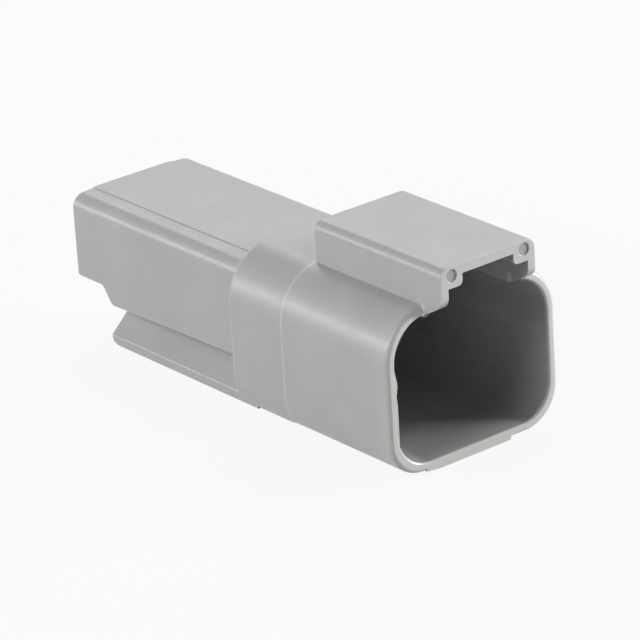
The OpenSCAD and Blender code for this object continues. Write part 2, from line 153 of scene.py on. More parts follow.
class ContactBlockSizes(bpy.types.PropertyGroup):
    pitch: length("Pitch", "Between the contact axes", 5.97)
    back_wall: length("Back wall", "Wall behind the mouth cavity", 2.05)
    tower_length: length("Tower length", "Tower round the wedge lock", 2.7)
    tower_wall: length("Tower wall", "Wall of that tower", 0.75)
    web: length("Web", "Wall that the contact collars stop against", 1.3)
    cavity_radius: length("Cavity radius", "Radius of the contact cavities", 1.75)
    hook: length("Hook", "Hook of a lock finger across the cavity", 0.37)
    finger_length: length("Finger length", "Length of the lock fingers", 5.15)
    finger_height: length("Finger height", "Height of the lock fingers", 2.0)
    finger_slit: length("Finger slit", "Slits above and below a finger", 0.3)
    pocket_width: length("Pocket width", "Pocket of the wire seal", 11.1)
    pocket_height: length("Pocket height", "Height of that pocket", 5.25)
    pocket_depth: length("Pocket depth", "Depth of that pocket", 10.2)


class WedgeSizes(bpy.types.PropertyGroup):
    width: length("Width", "Width of the plate", 9.9)
    height: length("Height", "Height of the plate", 4.6)
    thickness: length("Thickness", "Length of the plate along the mating axis", 3.0)
    corner: length("Corner", "Corner radius of the plate", 0.9)
    gap: length("Gap", "Clearance round the plate", 0.12)
    tongue_thickness: length("Tongue thickness", "Tongue between the lock fingers", 1.4)
    tongue_height: length("Tongue height", "Height of the tongue", 3.6)
    tongue_length: length("Tongue length", "Length of the tongue", 6.0)
    tongue_gap: length("Tongue gap", "Clearance round the tongue", 0.1)
    hole_radius: length("Hole radius", "Pin holes in the plate", 1.15)
    window: length("Window", "Side of the window for the removal hook", 1.5)
    window_depth: length("Window depth", "Depth of that window", 1.6)


class ContactSizes(bpy.types.PropertyGroup):
    pin_radius: length("Pin radius", "Radius of the pin", 0.79)
    pin_length: length("Pin length", "Pin in front of the wedge lock", 6.35)
    root_radius: length("Root radius", "Root of the pin inside the wedge lock", 1.0)
    neck_radius: length("Neck radius", "Neck in the web", 1.22)
    neck_gap: length("Neck gap", "Clearance round the neck", 0.08)
    collar_radius: length("Collar radius", "Collar behind the web", 1.64)
    collar_length: length("Collar length", "Length of the collar", 1.5)
    collar_gap: length("Collar gap", "Clearance at both ends of the collar", 0.06)
    barrel_radius: length("Barrel radius", "Crimp barrel", 1.31)
    barrel_length: length("Barrel length", "Length of the crimp barrel", 9.3)
    wire_radius: length("Wire radius", "Wire hole in the barrel", 1.03)
    wire_depth: length("Wire depth", "Depth of the wire hole", 6.5)


class SealSizes(bpy.types.PropertyGroup):
    recess: length("Recess", "How far the seal lies inside the rear end", 0.35)
    groove: length("Groove", "Depth of the grooves between the outer ribs", 0.3)
    gap: length("Gap", "Gap between the ribs and the pocket", 0.03)
    rib_length: length("Rib length", "Length of one outer rib", 1.5)
    ribs: IntProperty(name="Ribs", description="Number of outer ribs", default=3, min=2, max=5)
    lip_radius: length("Lip radius", "Lips in the wire holes", 0.8)
    hole_radius: length("Hole radius", "Wire holes between the lips", 1.1)
    mouth_radius: length("Mouth radius", "Mouths of the wire holes", 1.6)
    lip_length: length("Lip length", "Length of one lip", 1.0)


class Finishes(bpy.types.PropertyGroup):
    housing: colour("Housing", "Light grey moulded plastic", (0.38, 0.38, 0.388))
    # pale colour of the painted highlights along the housing's shoulder, moulding step, rim and
    # latch front
    painted_highlight: colour("Painted edge highlights", "The housing's rubbed and thin edges", (0.68, 0.66, 0.62))
    seal: colour("Seal", "Silicone rubber", (0.62, 0.09, 0.02))
    wedge: colour("Wedge lock", "Orange moulded plastic", (0.80, 0.20, 0.02))
    contact: colour("Contacts", "Nickel plating", (0.66, 0.64, 0.60))


class StageSettings(bpy.types.PropertyGroup):
    azimuth: FloatProperty(name="Azimuth", description="Camera's turn round the part",
                           default=math.radians(52.0673), subtype='ANGLE')
    elevation: FloatProperty(name="Elevation", description="Camera's height above the horizon",
                             default=math.radians(22.7911), subtype='ANGLE')
    roll: FloatProperty(name="Roll", description="Camera's tilt about its own axis",
                        default=math.radians(-3.5288), subtype='ANGLE')
    distance: length("Distance", "From the camera to its aim", 355.467)
    focal: FloatProperty(name="Focal length", description="Lens of the camera in millimetres",
                         default=241.5, min=10.0, max=500.0)
    aim_x: length("Aim X", "Point that the camera is set out from", 3.6)
    aim_z: length("Aim Z", "Height of that point", 8.0)


SIZE_GROUPS = {
    "housing_sizes": HousingSizes,
    "block_sizes": ContactBlockSizes,
    "wedge_sizes": WedgeSizes,
    "contact_sizes": ContactSizes,
    "seal_sizes": SealSizes,
    "receptacle_finishes": Finishes,
    "stage_settings": StageSettings,
}


def in_mm(group):
    """The sizes of a property group in millimetres."""
    values = {}
    for key in group.bl_rna.properties.keys():
        if key not in {"rna_type", "name"}:
            value = getattr(group, key)
            values[key] = value * METRE if isinstance(value, float) else value
    return SimpleNamespace(**values)


def moulding_sizes(scene):
    """The sizes of the housing, its contact block, the wedge lock and the contacts."""
    return (in_mm(getattr(scene, key)) for key in
            ("housing_sizes", "block_sizes", "wedge_sizes", "contact_sizes"))


# Below, h, b, w, c and q are the sizes of the housing, its contact block, the wedge lock, the
# contacts and the seal, and s is the layout.

def layout(scene):
    """Stations along X, heights and half widths that the pieces share, in millimetres."""
    h, b, w, c = moulding_sizes(scene)
    wedge_recess, neck_reach, root_reach = 0.2, 0.3, 0.2
    low, high = (METRE * Vector(corner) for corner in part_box("housing"))
    s = SimpleNamespace(rear=low.x, front=high.x)
    s.rim = s.front - h.latch_overhang
    s.shoulder = s.rim - h.shroud_length
    s.band = s.shoulder + h.band_length
    s.cavity = s.shoulder + b.back_wall
    s.tower = s.cavity + b.tower_length
    s.wedge_front = s.tower - wedge_recess
    s.wedge_seat = s.wedge_front - w.thickness
    s.web = s.wedge_seat - b.web
    s.pocket = s.rear + b.pocket_depth
    s.rail = s.rear + h.rail_inset
    s.roof = h.pad_height + h.shroud_height
    s.cavity_floor = h.pad_height + h.shroud_wall
    s.cavity_roof = s.roof - h.shroud_wall
    s.latch_top = s.roof + h.latch_height
    s.tunnel_roof = s.latch_top - h.latch_roof
    s.half_tunnel = h.latch_width / 2 - h.cheek_wall
    s.half_cavity = h.shroud_width / 2 - h.shroud_wall
    s.contact_y = b.pitch / 2
    s.collar = s.web - c.collar_gap
    s.barrel = s.collar - c.collar_length
    s.root = s.wedge_seat + neck_reach
    s.pin = s.wedge_front + root_reach
    s.tip = s.pin + c.pin_length
    s.finger_tip = s.barrel - c.collar_gap
    s.finger_root = s.finger_tip - b.finger_length
    return s


# ------------------------ modelling by hand

def clear_selection():
    if bpy.context.object and bpy.context.object.mode != 'OBJECT':
        bpy.ops.object.mode_set(mode='OBJECT')
    bpy.ops.object.select_all(action='DESELECT')


def take(obj):
    clear_selection()
    obj.select_set(True)
    bpy.context.view_layer.objects.active = obj


def settle(obj, name):
    """Names the object and moves its place, turn and scale into its mesh."""
    obj.name = name
    obj.data.name = name
    take(obj)
    bpy.ops.object.transform_apply(location=True, rotation=True, scale=True)
    return obj


def block(name, low, high):
    """A box between two corners."""
    low, high = Vector(low), Vector(high)
    clear_selection()
    bpy.ops.mesh.primitive_cube_add(size=1.0, location=(low + high) / 2)
    obj = bpy.context.object
    obj.scale = high - low
    return settle(obj, name)


def rod(name, x0, x1, radius, y, z=AXIS_Z, end_radius=None, sides=48):
    """A round bar or cone along X."""
    clear_selection()
    place = dict(vertices=sides, depth=x1 - x0, location=((x0 + x1) / 2, y, z),
                 rotation=(0, math.pi / 2, 0))
    if end_radius is None:
        bpy.ops.mesh.primitive_cylinder_add(radius=radius, **place)
    else:
        bpy.ops.mesh.primitive_cone_add(radius1=radius, radius2=end_radius, **place)
    return settle(bpy.context.object, name)


def edit_all(obj):
    """Takes the object into edit mode with all of its mesh selected."""
    take(obj)
    bpy.ops.object.mode_set(mode='EDIT')
    bpy.ops.mesh.select_all(action='SELECT')


def prism(name, points, start, end, along='X'):
    """A bar of one section: (y, z) points drawn out along X, or (x, z) points along Y."""
    clear_selection()
    bpy.ops.mesh.primitive_circle_add(vertices=len(points), radius=1.0, fill_type='NGON')
    obj = bpy.context.object
    for vertex, (u, z) in zip(obj.data.vertices, points):
        vertex.co = (start, u, z) if along == 'X' else (u, start, z)
    edit_all(obj)
    step = (end - start, 0, 0) if along == 'X' else (0, end - start, 0)
    bpy.ops.mesh.extrude_region_move(TRANSFORM_OT_translate={"value": step})
    bpy.ops.mesh.select_all(action='SELECT')
    bpy.ops.mesh.normals_make_consistent(inside=False)
    bpy.ops.object.mode_set(mode='OBJECT')
    return settle(obj, name)


def split(obj, place, normal):
    """Cuts a loop of edges into the mesh where a plane crosses it."""
    edit_all(obj)
    bpy.ops.mesh.bisect(plane_co=place, plane_no=normal)
    bpy.ops.object.mode_set(mode='OBJECT')


def widen(bar, x, sides, up, down):
    """Moves a bar's section at x outwards, by so much at its sides, top and bottom."""
    section = [vertex for vertex in bar.data.vertices if abs(vertex.co.x - x) < EPS / 2]
    half = max(vertex.co.y for vertex in section)
    low, high = (pick(vertex.co.z for vertex in section) for pick in (min, max))
    for vertex in section:
        vertex.co.y *= 1 + sides / half
        height = vertex.co.z - (low + high) / 2
        vertex.co.z += height * (up if height > 0 else down) / ((high - low) / 2)


def pick_edges(obj, wanted):
    """Leaves the mesh in edit mode with the wanted edges selected."""
    take(obj)
    bpy.ops.object.mode_set(mode='EDIT')
    bpy.ops.mesh.select_mode(type='EDGE')
    bpy.ops.mesh.select_all(action='DESELECT')
    bpy.ops.object.mode_set(mode='OBJECT')
    vertices = obj.data.vertices
    for edge in obj.data.edges:
        a, b = (vertices[i].co for i in edge.vertices)
        edge.select = bool(wanted(a, b))
    bpy.ops.object.mode_set(mode='EDIT')


def round_edges(obj, radius, segments, wanted):
    pick_edges(obj, wanted)
    bpy.ops.mesh.bevel(offset=radius, segments=segments, profile=0.5, affect='EDGES',
                       clamp_overlap=False)
    bpy.ops.object.mode_set(mode='OBJECT')
    return obj


def lengthwise(test):
    """Edges along X whose place passes the test."""
    return lambda a, b: abs(a.x - b.x) > 0.5 and abs(a.y - b.y) < 0.001 and test(a)


def at(axis, *values):
    """Edges that lie in a plane where that axis has one of the values."""
    return lambda a, b: any(abs(a[axis] - value) < NEAR and abs(b[axis] - value) < NEAR
                            for value in values)


def combine(obj, operation, tools):
    for tool in tools:
        take(obj)
        modifier = obj.modifiers.new(tool.name, 'BOOLEAN')
        modifier.operation = operation
        modifier.solver = 'EXACT'
        modifier.object = tool
        bpy.ops.object.modifier_apply(modifier=modifier.name)
        mesh = tool.data
        bpy.data.objects.remove(tool)
        bpy.data.meshes.remove(mesh)
    return obj


def add(obj, *tools):
    return combine(obj, 'UNION', tools)


def cut(obj, *tools):
    return combine(obj, 'DIFFERENCE', tools)


def rounded_bar(name, x0, x1, width, z0, z1, low_radius, high_radius, segments=14):
    """A bar along X with its own radius at the lower and at the upper corners."""
    bar = block(name, (x0, -width / 2, z0), (x1, width / 2, z1))
    middle = (z0 + z1) / 2
    round_edges(bar, high_radius, segments, lengthwise(lambda p: p.z > middle))
    return round_edges(bar, low_radius, segments, lengthwise(lambda p: p.z < z0 + EPS))


def centred_bar(name, x0, x1, width, height, radius, segments=12):
    """A bar round the plane of the contact axes, with one radius at all its corners."""
    half = height / 2
    return rounded_bar(name, x0, x1, width, AXIS_Z - half, AXIS_Z + half,
                       radius, radius, segments)


def finish_mesh(obj, node, body, material, angle=32.0):
    """Cleans the mesh, brings it to metres, shades it and lets it stand for its CAD node."""
    edit_all(obj)
    bpy.ops.mesh.remove_doubles(threshold=0.0005)
    bpy.ops.mesh.dissolve_degenerate(threshold=0.0002)
    bpy.ops.object.mode_set(mode='OBJECT')
    obj.scale = (1 / METRE,) * 3
    bpy.ops.object.transform_apply(location=True, rotation=True, scale=True)
    bpy.ops.object.shade_smooth_by_angle(angle=math.radians(angle))
    modifier = obj.modifiers.new("flat faces stay flat", 'WEIGHTED_NORMAL')
    modifier.keep_sharp = True
    modifier.weight = 100
    bpy.ops.object.modifier_apply(modifier=modifier.name)
    obj.data.materials.clear()
    obj.data.materials.append(material)
    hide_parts(node)
    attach(obj, body)
    return obj


# ------------------------ finishes

def new_material(name):
    material = bpy.data.materials.new(name)
    material.use_nodes = True
    nodes = material.node_tree.nodes
    return material, nodes, material.node_tree.links, nodes["Principled BSDF"]


def dial(node, **values):
    """Sets a node's input sockets; an underscore stands for a space in a socket's name."""
    for name, value in values.items():
        node.inputs[name.replace("_", " ")].default_value = value
    return node


def calculate(nodes, links, operation, *values):
    """The result of a Math node whose inputs are numbers or the outputs of other nodes."""
    node = nodes.new("ShaderNodeMath")
    node.operation = operation
    for socket, value in zip(node.inputs, values):
        if isinstance(value, float):
            socket.default_value = value
        else:
            links.new(value, socket)
    return node.outputs[0]


def noise(nodes, links, place, scale, detail, roughness=0.5):
    texture = dial(nodes.new("ShaderNodeTexNoise"), Scale=scale, Detail=detail, Roughness=roughness)
    links.new(place.outputs["Object"], texture.inputs["Vector"])
    return texture


def spread(nodes, links, source, low, high):
    """Maps a noise's middle range to low..high."""
    node = dial(nodes.new("ShaderNodeMapRange"), From_Min=0.3, From_Max=0.7,
                To_Min=low, To_Max=high)
    links.new(source.outputs["Fac"], node.inputs["Value"])
    return node


def tinted(nodes, links, factor, rgba, low, high):
    """A colour that drifts between a darker and a lighter shade of itself."""
    mix = nodes.new("ShaderNodeMix")
    mix.data_type = 'RGBA'
    dial(mix, A=[low * v for v in rgba[:3]] + [1.0],
         B=[min(high * v, 1.0) for v in rgba[:3]] + [1.0])
    links.new(factor.outputs["Result"], mix.inputs["Factor"])
    return mix


def uneven(name, rgba, cloud_scale, shades, sheen_scale, roughness):
    """A material whose colour and sheen drift a little over the part."""
    material, nodes, links, shader = new_material(name)
    place = nodes.new("ShaderNodeTexCoord")
    clouds = spread(nodes, links, noise(nodes, links, place, cloud_scale, 3.0), 0.0, 1.0)
    colour_mix = tinted(nodes, links, clouds, rgba, *shades)
    links.new(colour_mix.outputs["Result"], shader.inputs["Base Color"])
    sheen = spread(nodes, links, noise(nodes, links, place, sheen_scale, 2.0), *roughness)
    links.new(sheen.outputs["Result"], shader.inputs["Roughness"])
    return material, nodes, links, shader, place


def emboss(nodes, links, shader, texture, strength, depth):
    """Raises a texture on the surface; its depth is in metres."""
    bump = dial(nodes.new("ShaderNodeBump"), Strength=strength, Distance=depth)
    links.new(texture.outputs["Fac"], bump.inputs["Height"])
    links.new(bump.outputs["Normal"], shader.inputs["Normal"])


def moulded_plastic(name, rgba, roughness, grain_depth):
    """Moulded thermoplastic: faint clouding, an uneven sheen and a fine spark-eroded grain."""
    material, nodes, links, shader, place = uneven(
        name, rgba, 260.0, (0.965, 1.03), 700.0, (roughness - 0.04, roughness + 0.05))
    emboss(nodes, links, shader, noise(nodes, links, place, 5200.0, 2.0, 0.6), 0.35, grain_depth)
    dial(shader, IOR=1.5)
    return material


def paint_edge_highlights(material, rgba, h, s):
    """Paints highlights into the housing's colour: pale bands along its shoulder, moulding step,
    rim and latch housing's front that stand in for the light lines on those edges and the bright
    zone round the rim.
    """
    nodes, links = material.node_tree.nodes, material.node_tree.links
    place = nodes.new("ShaderNodeTexCoord")
    axes = nodes.new("ShaderNodeSeparateXYZ")
    links.new(place.outputs["Object"], axes.inputs["Vector"])

    def work_out(operation, *values):
        return calculate(nodes, links, operation, *values)

    # The sum of both powers is 1 on the shroud's outer faces and falls off towards its axis.
    power, just_inside = 4.0, 0.83
    side = work_out('MULTIPLY', axes.outputs["Y"], 2 * METRE / h.shroud_width)
    across = work_out('POWER', side, power)
    centre = (s.roof + h.pad_height) / 2
    rise = work_out('SUBTRACT', axes.outputs["Z"], centre / METRE)
    upwards = work_out('POWER', work_out('MULTIPLY', rise, 2 * METRE / h.shroud_height), power)
    outside = work_out('GREATER_THAN', work_out('ADD', across, upwards), just_inside)
    below_roof = work_out('LESS_THAN', axes.outputs["Z"], (s.roof + 0.02) / METRE)
    # station of an edge, reach to both sides, share of the painted highlight's pale colour, where
    # it counts
    edges = ((s.shoulder + 0.14, 0.16, 0.8, outside), (s.band + 0.14, 0.16, 0.35, outside),
             (s.rim, 0.35, 0.8, below_roof), (s.rim, 2.0, 0.12, below_roof),
             (s.front, 0.12, 0.7, outside))
    shader = nodes["Principled BSDF"]
    colour_socket = shader.inputs["Base Color"].links[0].from_socket
    # each band mixes in the pale colour as a painted highlight, strongest at its station
    for x, reach, share, mask in edges:
        away = work_out('ABSOLUTE', work_out('SUBTRACT', axes.outputs["X"], x / METRE))
        left = work_out('SUBTRACT', 1.0, work_out('DIVIDE', away, reach / METRE))
        near = work_out('MAXIMUM', left, 0.0)
        mix = nodes.new("ShaderNodeMix")
        mix.data_type = 'RGBA'
        dial(mix, B=rgba)
        factor = work_out('MULTIPLY', work_out('MULTIPLY', near, share), mask)
        links.new(factor, mix.inputs["Factor"])
        links.new(colour_socket, mix.inputs["A"])
        colour_socket = mix.outputs["Result"]
    links.new(colour_socket, shader.inputs["Base Color"])


def silicone(name, rgba):
    """Silicone rubber: dull, slightly translucent, with a soft oily sheen."""
    material, nodes, links, shader, place = uneven(
        name, rgba, 400.0, (0.92, 1.06), 900.0, (0.5, 0.62))
    dial(shader, Subsurface_Weight=0.15, Subsurface_Radius=(0.0008, 0.0003, 0.0001),
         Subsurface_Scale=1.0, IOR=1.42)
    return material


def turned_nickel(name, rgba):
    """Nickel plating over a turned surface: fine rings round the axis."""
    material, nodes, links, shader, place = uneven(
        name, rgba, 500.0, (0.93, 1.04), 1400.0, (0.2, 0.32))
    rings = nodes.new("ShaderNodeTexWave")
    rings.wave_type = 'BANDS'
    rings.bands_direction = 'X'
    dial(rings, Scale=1800.0, Distortion=0.6, Detail=2.0)
    links.new(place.outputs["Object"], rings.inputs["Vector"])
    emboss(nodes, links, shader, rings, 0.2, 0.000004)
    dial(shader, Metallic=1.0)
    return material


# ------------------------ housing

def shroud(h, s):
    """The front shroud with its thicker rear band and the pad under its floor."""
    shoulder_radius, pad_radius = 0.45, 0.1
    hollow_start, hollow_end, hollow_depth = 1.2, 0.2, 0.9 * h.band_step
    ramp_end, fade = s.band + h.band_ramp, -h.band_step - EPS / 2
    body = rounded_bar("band", s.shoulder, ramp_end, h.shroud_width + 2 * h.band_step,
                       h.pad_height - h.band_step, s.roof + h.band_step,
                       h.floor_radius + h.band_step, h.roof_radius + h.band_step, CORNER_STEPS)
    round_edges(body, shoulder_radius, 6, at(0, s.shoulder))
    for x, inward in ((s.band - hollow_start, 0), (s.band - hollow_end, hollow_depth), (s.band, 0)):
        split(body, (x, 0, 0), (1, 0, 0))
        widen(body, x, -inward, -inward, -inward)
    widen(body, ramp_end, fade, fade, fade)
    front = rounded_bar("shroud", s.shoulder + OVER, s.rim, h.shroud_width, h.pad_height, s.roof,
                        h.floor_radius, h.roof_radius, CORNER_STEPS)
    round_edges(front, h.rim_radius, 5, at(0, s.rim))
    half, high = h.pad_width / 2, h.pad_height
    buried, slope = high + 0.4, 1.7
    pad = prism("pad", [(-half - slope, buried), (-half - slope, 0.85 * high),
                        (-half + pad_radius, 0), (half - pad_radius, 0),
                        (half + pad_radius / 2, 0.7 * high), (half + pad_radius / 2, buried)],
                s.shoulder + OVER, s.rim - EPS)
    round_edges(pad, pad_radius, 3,
                lambda a, b: at(2, 0.0)(a, b) and at(0, s.rim - EPS)(a, b))
    return add(body, front, pad)


def latch_bridge(h, s):
    """The latch housing over the roof, with cheeks that rise in front of the rim."""
    half, low = h.latch_width / 2, s.cavity_roof
    bridge = block("latch", (s.band, -half, low - OVER), (s.front, half, s.latch_top))
    round_edges(bridge, h.latch_edge, 7, lengthwise(lambda p: p.z > s.roof + 1))
    round_edges(bridge, 0.3, 4, at(0, s.band))
    round_edges(bridge, 0.1, 2, at(0, s.front))
    cheek_foot, depth, beyond = low + 0.12, low - 5, s.front + 2 * OVER
    under = prism("under", [
        (s.rim - EPS, depth), (s.rim - EPS, cheek_foot),
        *((s.rim + x, low + z) for x, z in CHEEK_CURVE),
        (beyond, low + CHEEK_CURVE[-1][1]), (beyond, depth)], -half - OVER, half + OVER, 'Y')
    return cut(bridge, under)


def rear_body(h, s):
    """The rear body: crowned top with a raised panel, rounded edges and a curved step below."""
    crown, bottom, middle = h.body_top - h.panel_rise, 2.5, 5
    half, line = h.body_width / 2, h.panel_width / 2
    end_radius, front = 0.3, s.shoulder + OVER
    body = block("body", (s.rear, -half, bottom), (front, half, crown))
    for y in (-line, line):
        split(body, (0, y, 0), (0, 1, 0))
    for vertex in body.data.vertices:
        if vertex.co.z > middle and abs(vertex.co.y) > line + 0.5:
            vertex.co.z -= h.top_fall
    round_edges(body, h.body_edge, 9,
                lengthwise(lambda p: p.z > middle and abs(p.y) > half - EPS))

    def by_panel(p):
        return abs(abs(p.y) - line) < EPS

    round_edges(body, end_radius, 4,
                lambda a, b: at(0, s.rear)(a, b) and not (by_panel(a) and by_panel(b)))
    panel = block("panel", (s.rear, -line, crown - OVER), (front, line, h.body_top))
    round_edges(panel, end_radius, 4,
                lambda a, b: at(0, s.rear)(a, b) and at(2, h.body_top)(a, b))
    add(body, panel)
    low, fall, foot = h.tail_floor, h.tail_floor - h.body_floor, s.rear + h.tail_length
    steps = 14
    curve = [(foot + h.tail_curve * t, low - fall * t * t * (3 - 2 * t))
             for t in (i / steps for i in range(steps + 1))]
    rise, beyond = h.body_floor + h.floor_rise, s.shoulder + 2 * OVER
    under = prism("under", [
        (s.rear - OVER, 0), (s.rear - OVER, low + 2 * TAIL_CORNER[0][1]),
        *((s.rear + x, low + z) for x, z in TAIL_CORNER), *curve,
        (beyond, rise), (beyond, 0)], -half - OVER, half + OVER, 'Y')
    return cut(body, under)


def clip_rail(h, s):
    """The dovetail rail for a mounting clip."""
    foot, neck, lip = h.rail_foot / 2, h.rail_neck / 2, h.rail_lip
    top, lap = h.body_floor + 1.5, 0.1
    rail = prism("rail", [(-foot, 0), (-foot, lip), (-neck, h.body_floor), (-neck, top),
                          (neck, top), (neck, h.body_floor), (foot, lip), (foot, 0)],
                 s.rail, s.shoulder + h.rail_reach + lap)
    round_edges(rail, 0.1, 2, lengthwise(lambda p: abs(p.y) > foot - EPS))
    toe = prism("toe", [(s.rail - OVER, -OVER), (s.rail - OVER, lip + OVER), (s.rail, lip),
                        (s.rail + 0.22, 0.28), (s.rail + lip, 0), (s.rail + lip + OVER, -OVER)],
                -foot - OVER, foot + OVER, 'Y')
    return cut(rail, toe)


def mouth(h, s):
    """The mouth cavity with its lead-in and chamfer, and the tunnel under the latch housing."""
    wall, chamfer = h.shroud_wall, h.rim_chamfer + EPS
    cavity = rounded_bar("cavity", s.cavity, s.rim + EPS, 2 * s.half_cavity,
                         s.cavity_floor, s.cavity_roof,
                         h.floor_inner, h.roof_radius - wall, CORNER_STEPS)
    round_edges(cavity, 0.3, 3, at(0, s.cavity))
    for x in (s.rim - h.lead_length, s.rim - h.rim_chamfer):
        split(cavity, (x, 0, 0), (1, 0, 0))
    widen(cavity, s.rim - h.rim_chamfer, 0, 0, h.lead_depth)
    widen(cavity, s.rim + EPS, chamfer, chamfer, h.lead_depth + chamfer)
    tunnel = block("tunnel", (s.band + wall, -s.half_tunnel, AXIS_Z),
                   (s.front + OVER, s.half_tunnel, s.tunnel_roof))
    return cavity, tunnel


def side_keys(h, s):
    """A sloping ridge along each inner side wall, over a shallow thickening of the wall."""
    keys = []
    wall, foot = s.half_cavity, AXIS_Z - 1.35
    buried, top, low = wall + 0.4, foot + h.key_height, foot - h.swell_height
    swell, fade_length = wall - h.swell_depth, 1.5
    outline = ((buried, top), (wall, top),
               *((wall - x * h.key_depth, foot + z * h.key_height) for x, z in KEY_SLOPES),
               (wall - 0.45 * h.key_depth, foot - 0.2), (swell, foot - 0.6),
               (swell, foot + 0.4 - h.swell_height), (wall, low), (buried, low))
    for side in (-1, 1):
        key = prism("key", [(side * y, z) for y, z in outline],
                    s.cavity - 0.3, s.rim - h.rim_chamfer)
        if side > 0:
            split(key, (s.rim - fade_length, 0, 0), (1, 0, 0))
            for vertex in key.data.vertices:
                if vertex.co.x > s.rim - 1:
                    vertex.co.y += h.key_depth
        keys.append(key)
    return keys


def tunnel_fittings(h, s):
    """Bars in the tunnel's upper corners, and the latch catch between them."""
    pieces = []
    buried, high = 0.2, s.tunnel_roof
    low = high - h.bar_height
    for side in (-1, 1):
        outer, inner = side * (s.half_tunnel + buried), side * (s.half_tunnel - h.bar_width)
        bar = block("bar", (s.band + 0.4, min(outer, inner), low),
                    (s.front, max(outer, inner), high + buried))
        round_edges(bar, 0.42, 5,
                    lengthwise(lambda p: p.z < low + EPS and abs(p.y - inner) < EPS))
        pieces.append(bar)
    x, end = s.front - h.catch_inset, s.front - h.catch_inset - h.catch_length
    half, edge = s.half_tunnel - h.bar_width + buried, high - h.catch_height
    pieces.append(prism("catch", [(x, high + buried), (x, high), (x - 0.3 * h.catch_length, edge),
                                  (end, edge), (end, high + buried)], -half, half, 'Y'))
    return pieces


def end_marks(h, s):
    """A shallow round dimple with a softened edge at the front of each bar."""
    depth, soft_depth, soft = 0.12, 0.1, 0.06
    marks = []
    for side in (-1, 1):
        y, z = side * (s.half_tunnel - h.mark_inset), s.tunnel_roof + h.mark_rise
        marks += [rod("mark", s.front - depth, s.front + 0.5, h.mark_radius - 0.05, y, z, sides=40),
                  rod("lead", s.front - soft_depth, s.front + 0.02, h.mark_radius - soft, y, z,
                      end_radius=h.mark_radius + soft, sides=40)]
    return marks


def passages(b, c, w, s):
    """Everything that is cut through the contact block from the rear and from the mouth."""
    lap, neck = 0.5, c.neck_radius + c.neck_gap
    pocket = centred_bar("pocket", s.rear - OVER, s.pocket, b.pocket_width, b.pocket_height,
                         b.pocket_height / 2 - EPS, 16)
    tools = [round_edges(pocket, 0.25, 3, at(0, s.pocket))]
    for side in (-1, 1):
        y = side * s.contact_y
        tools.append(rod("cavity", s.pocket - lap, s.web, b.cavity_radius, y))
        tools.append(rod("neck", s.web - lap, s.wedge_seat + lap, neck, y))
    tools.append(centred_bar("seat", s.wedge_seat, s.tower + OVER, w.width + 2 * w.gap,
                             w.height + 2 * w.gap, w.corner + w.gap, 6))
    half_y = w.tongue_thickness / 2 + w.tongue_gap
    half_z = w.tongue_height / 2 + w.tongue_gap
    tools.append(block("slot", (s.finger_root, -half_y, AXIS_Z - half_z),
                       (s.wedge_seat + lap, half_y, AXIS_Z + half_z)))
    reach = s.contact_y - b.cavity_radius + 0.6
    tall = b.finger_height / 2
    for side in (-1, 1):
        z0, z1 = sorted((side * tall, side * (tall + b.finger_slit)))
        tools.append(block("slit", (s.finger_root, -reach, AXIS_Z + z0),
                           (s.web, reach, AXIS_Z + z1)))
    tall += b.finger_slit
    tools.append(block("free end", (s.finger_tip, -reach, AXIS_Z - tall),
                       (s.web, reach, AXIS_Z + tall)))
    return tools


def finger_hooks(b, w, s):
    """The hooks at the free ends of the two lock fingers, behind the contact collars."""
    hooks = []
    radius, hook_length, ramp_end = b.cavity_radius - b.hook, 2, 0.8
    half_y, half_z = w.tongue_thickness / 2 + w.tongue_gap, b.finger_height / 2
    for side in (-1, 1):
        y0, y1 = sorted((side * half_y, side * (half_y + 1)))
        hook = block("hook", (s.finger_tip - hook_length, y0, AXIS_Z - half_z),
                     (s.finger_tip, y1, AXIS_Z + half_z))
        y = side * s.contact_y
        cut(hook, rod("bore", s.finger_tip - hook_length - OVER, s.finger_tip + OVER, radius, y),
            rod("ramp", s.finger_tip - (hook_length + EPS), s.finger_tip - ramp_end,
                b.cavity_radius, y, end_radius=radius))
        hooks.append(hook)
    return hooks


class RECEPTACLE_OT_housing(bpy.types.Operator):
    """Model the housing moulding: shroud, latch housing, rear body, clip rail and contact block"""
    bl_idname = "receptacle.housing"
    bl_label = "Housing"

    def execute(self, context):
        scene = context.scene
        h, b, w, c = moulding_sizes(scene)
        s = layout(scene)
        body = shroud(h, s)
        add(body, latch_bridge(h, s), rear_body(h, s), clip_rail(h, s))
        cut(body, *mouth(h, s))
        slot, half_slot = s.shoulder + h.rail_reach, h.slot_width / 2
        cut(body, block("slot", (slot, -half_slot, -OVER),
                        (slot + h.slot_length, half_slot, h.slot_height)))
        add(body, *side_keys(h, s), *tunnel_fittings(h, s))
        cut(body, *end_marks(h, s))
        outward = w.gap + b.tower_wall
        tower = centred_bar("tower", s.cavity - 0.5, s.tower, w.width + 2 * outward,
                            w.height + 2 * outward, w.corner + w.gap + b.tower_wall, 8)
        round_edges(tower, 0.2, 3, at(0, s.tower))
        add(body, tower)
        cut(body, *passages(b, c, w, s))
        add(body, *finger_hooks(b, w, s))
        body.name = "housing_moulding"
        finishes = scene.receptacle_finishes
        plastic = moulded_plastic("Grey moulded plastic", finishes.housing, 0.36, 0.00002)
        # painted highlights on the housing's edges and rim, mixed into its colour
        paint_edge_highlights(plastic, finishes.painted_highlight, h, s)
        finish_mesh(body, "housing", "receptacle", plastic)
        return {'FINISHED'}


# ------------------------ seal, wedge lock and contacts

